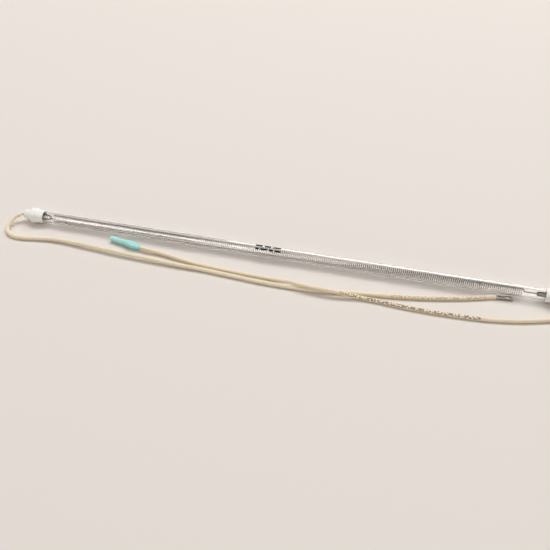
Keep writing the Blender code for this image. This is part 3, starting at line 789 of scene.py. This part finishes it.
def makeLead(name, route):
    path = leadPath(route)
    length = pathLength(path)
    radius = leadSetup["diameter"] / 2
    depth, mouth = leadSetup["mouthDepth"], leadSetup["mouthRadius"]
    edge, cut = leadSetup["edge"], leadSetup["cut"]
    # Stations along the lead: distance, radius, and how much of the braid's relief it has
    stations = [(depth, 0.0, 0), (depth, mouth * 0.5, 0), (depth, mouth, 0),
                (depth / 2, mouth, 0), (edge, mouth, 0), (0.0, mouth + edge, 0),
                (0.0, radius - cut / 2, 0), (edge, radius + leadSetup["swell"], 0.5)]
    count = int(length / leadSetup["ringStep"])
    for i in range(1, count):
        distance = length * i / count
        flare = leadSetup["flare"] * math.exp(-distance / leadSetup["flareReach"])
        stations.append((distance, radius + flare, 1))
    stations += [(length - cut / 2, radius - cut / 4, 0.5), (length, radius - cut, 0),
                 (length, radius * 0.5, 0), (length, 0.0, 0)]
    stations = np.array(stations)
    clearSelection()
    sides = leadSetup["sides"]
    bpy.ops.mesh.primitive_grid_add(x_subdivisions=len(stations) - 1, y_subdivisions=sides,
                                    size=1.0, calc_uvs=True)
    lead = bpy.context.object
    lead.name = name
    lead.data.name = name
    corner = np.empty(len(lead.data.vertices) * 3)
    lead.data.vertices.foreach_get("co", corner)
    corner = corner.reshape(-1, 3)
    column = np.rint((corner[:, 0] + 0.5) * (len(stations) - 1)).astype(int)
    around = corner[:, 1] + 0.5
    distance, reach, relief = stations[column].T
    center = samplePath(path, distance)
    ahead = samplePath(path, np.minimum(distance + leadSetup["look"], length))
    behind = samplePath(path, np.maximum(distance - leadSetup["look"], 0.0))
    forward = ahead - behind
    forward /= np.linalg.norm(forward, axis=1)[:, None]
    across = np.cross(forward, (0.0, 0.0, 1.0))
    across /= np.linalg.norm(across, axis=1)[:, None]
    up = np.cross(across, forward)
    angle = (around - 0.5) * math.tau
    crown = braidRelief(distance, around) - leadSetup["reliefMiddle"]
    bulge = crown * leadSetup["relief"] * relief
    out = np.sin(angle)[:, None] * across + np.cos(angle)[:, None] * up
    placed = center + out * (reach + bulge)[:, None]
    lead.data.vertices.foreach_set("co", placed.ravel())
    layer = lead.data.uv_layers.active
    layer.name = "UVMap"
    loops = np.empty(len(lead.data.loops), dtype=np.int32)
    lead.data.loops.foreach_get("vertex_index", loops)
    coords = np.stack([distance / length, around], axis=1)[loops]
    layer.data.foreach_set("uv", coords.ravel())
    lead.data.update()
    closeSkin(skinSetup["merge"], skinSetup["braidSharp"])
    finishPiece(lead, makeBraid(name + "Braid", length, route["print"]), "glass_braid",
                route["node"])
    print(name, "length", round(length * 1000, 1), "mm")
    return lead, path, length


makeCamera()
makeStage()

leftLead, leftPath, leftLength = makeLead("leftLead", leftRoute)
rightLead, rightPath, rightLength = makeLead("rightLead", rightRoute)


# Surfaces

surfaces = {name: mottledMaterial(name, values) for name, values in finishes.items()}
surfaces["glass"] = makeGlass()

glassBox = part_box("glass_tube")
axisHeight = (glassBox[0][2] + glassBox[1][2]) / 2
glassRadius = (glassBox[1][1] - glassBox[0][1]) / 2
glassHalf = (glassBox[1][0] - glassBox[0][0]) / 2
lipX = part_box("right_end_cap")[0][0]
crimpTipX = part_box("right_crimp")[0][0]


def layAlongX(piece, side, distance):
    return settle(piece, (side * distance, 0, axisHeight), (0, side * math.pi / 2, 0))


def makeGlassTube():
    wall, polish = glassSetup["wall"], glassSetup["polish"]
    inner = glassRadius - wall
    corners = [
        (inner + wall / 2, glassHalf, 0), (glassRadius, glassHalf, polish),
        (glassRadius, -glassHalf, polish), (inner, -glassHalf, polish),
        (inner, glassHalf, polish), (inner + wall / 2, glassHalf, 0),
    ]
    tube = turnedPiece("glassTube", roundedProfile(corners), glassSetup["sides"])
    layAlongX(tube, 1, 0.0)
    finishPiece(tube, surfaces["glass"], "quartz_glass", "glass_tube")
    print("glass tube ready")
    return tube


def wirePiece(name, points, radius, roundness):
    # A round wire along given points, made a closed mesh
    clearSelection()
    bpy.ops.curve.primitive_nurbs_path_add(location=(0, 0, 0))
    wire = bpy.context.object
    wire.name = name
    curve = wire.data
    curve.splines.clear()
    spline = curve.splines.new("POLY")
    spline.points.add(len(points) - 1)
    spline.points.foreach_set("co", np.array([(*p, 1.0) for p in points]).ravel())
    curve.bevel_depth = radius
    curve.bevel_resolution = roundness
    curve.use_fill_caps = True
    bpy.ops.object.convert(target="MESH")
    wire = bpy.context.object
    wire.data.name = name
    closeSkin(skinSetup["merge"], skinSetup["sharp"])
    return wire


def makeCoil():
    radius = (coilSetup["outer"] - coilSetup["wire"]) / 2
    perTurn = coilSetup["pointsPerTurn"]
    total = coilSetup["turns"] * perTurn
    first = coilSetup["setback"] - lipX
    tip = crimpTipX + coilSetup["tailInCrimp"]
    half = perTurn // 2
    points = [(-tip, 0, axisHeight)]
    for i in range(-half, total + half + 1):
        over = max(-i, i - total, 0) / half
        over = over * over * (3 - 2 * over)
        x = first + coilSetup["pitch"] * min(max(i, 0), total) / perTurn
        x += math.copysign(over * coilSetup["tailRun"], i)
        reach = radius * (1 - over)
        angle = math.tau * i / perTurn
        drop = coilSetup["sag"] * (1 - over)
        points.append((x, reach * math.cos(angle), axisHeight - drop + reach * math.sin(angle)))
    points.append((tip, 0, axisHeight))
    coil = wirePiece("heatingCoil", points, coilSetup["wire"] / 2, coilSetup["wireRoundness"])
    finishPiece(coil, surfaces["coilWire"], "coil_wire", "heating_coil")
    print("coil ready,", len(coil.data.polygons), "faces")


def makeTubeMark(tube):
    # A printed field of plain bars, pressed onto the glass from the side that the photo shows
    m = markSetup
    clearSelection()
    tilt = math.radians(m["tilt"])
    bpy.ops.mesh.primitive_grid_add(
        x_subdivisions=m["columns"], y_subdivisions=m["rows"], size=1.0,
        location=(m["middle"], -m["out"] * math.sin(tilt), axisHeight + m["out"] * math.cos(tilt)),
        rotation=(tilt, 0, 0))
    mark = bpy.context.object
    mark.name = "tubeMark"
    mark.data.name = "tubeMark"
    mark.scale = (m["length"], m["width"], 1)
    bpy.ops.object.transform_apply(location=False, rotation=False, scale=True)
    bpy.ops.object.mode_set(mode="EDIT")
    bpy.ops.mesh.select_mode(type="FACE")
    bpy.ops.mesh.select_all(action="DESELECT")
    bpy.ops.object.mode_set(mode="OBJECT")
    for face in mark.data.polygons:
        x, y = (face.center.x + m["middle"]) / mm, face.center.y / mm
        face.select = not any(left < x < right and low < y < high
                              for left, right, low, high in m["bars"])
    bpy.ops.object.mode_set(mode="EDIT")
    bpy.ops.mesh.delete(type="FACE")
    bpy.ops.object.mode_set(mode="OBJECT")
    wrap = mark.modifiers.new("wrap", "SHRINKWRAP")
    wrap.target = tube
    wrap.wrap_method = "PROJECT"
    wrap.use_project_z = True
    wrap.use_positive_direction = False
    wrap.use_negative_direction = True
    wrap.offset = m["lift"]
    applyModifier(mark, "wrap")
    skin = mark.modifiers.new("skin", "SOLIDIFY")
    skin.thickness = m["thickness"]
    skin.offset = 1.0
    applyModifier(mark, "skin")
    bpy.ops.object.transform_apply(location=True, rotation=True, scale=True)
    bpy.ops.object.shade_smooth_by_angle(angle=math.radians(skinSetup["sharp"]))
    finishPiece(mark, surfaces["ink"], "quartz_glass")
    print("tube mark ready,", len(mark.data.polygons), "faces")


def makeCap(name, side, node):
    c = capSetup
    seam = (c["bore"], c["length"] - c["seam"], 0)
    corners = [
        seam,
        (c["bore"], c["length"], c["boreRound"]),
        (c["noseEnd"], c["length"], c["noseRound"]),
        (c["noseRoot"], c["shoulder"], c["shoulderRound"]),
        (c["flange"], c["shoulder"], c["flangeRound"]),
        (c["flange"], c["flangeStart"] + c["flangeSlope"], c["flangeRound"]),
        (c["collar"], c["flangeStart"], c["collarRound"]),
        (c["lip"], c["lipRound"], c["lipRound"]),
        (c["socket"] + c["lipChamfer"], 0, c["mouthRound"]),
        (c["socket"], 0, c["socketRound"]),
        (c["socket"], c["socketDepth"], c["floorRound"]),
        (c["bore"], c["socketDepth"], c["boreRootRound"]),
        seam,
    ]
    cap = turnedPiece(name, roundedProfile(corners, c["roundSteps"]), c["sides"])
    layAlongX(cap, side, lipX)
    finishPiece(cap, surfaces["whiteRubber"], "white_rubber", node)
    return cap


makeTubeMark(makeGlassTube())
makeCoil()
makeCap("leftCap", -1, "left_end_cap")
makeCap("rightCap", 1, "right_end_cap")
print("caps ready")

nodeFinish = {
    "left_crimp": "darkPlated", "right_crimp": "darkPlated", "left_stopper": "darkRubber",
    "right_stopper": "darkRubber", "left_conductor": "bareWire", "right_conductor": "bareWire",
    "left_wire_insulation": "paleRubber", "right_wire_insulation": "paleRubber",
    "left_lead_strands": "bareWire", "right_lead_strands": "bareWire",
    "lead_terminal": "dullPlated", "connector_socket": "plated", "connector_sleeve": "turquoise",
}
for node, finish in nodeFinish.items():
    giveMaterial(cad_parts[node], surfaces[finish])
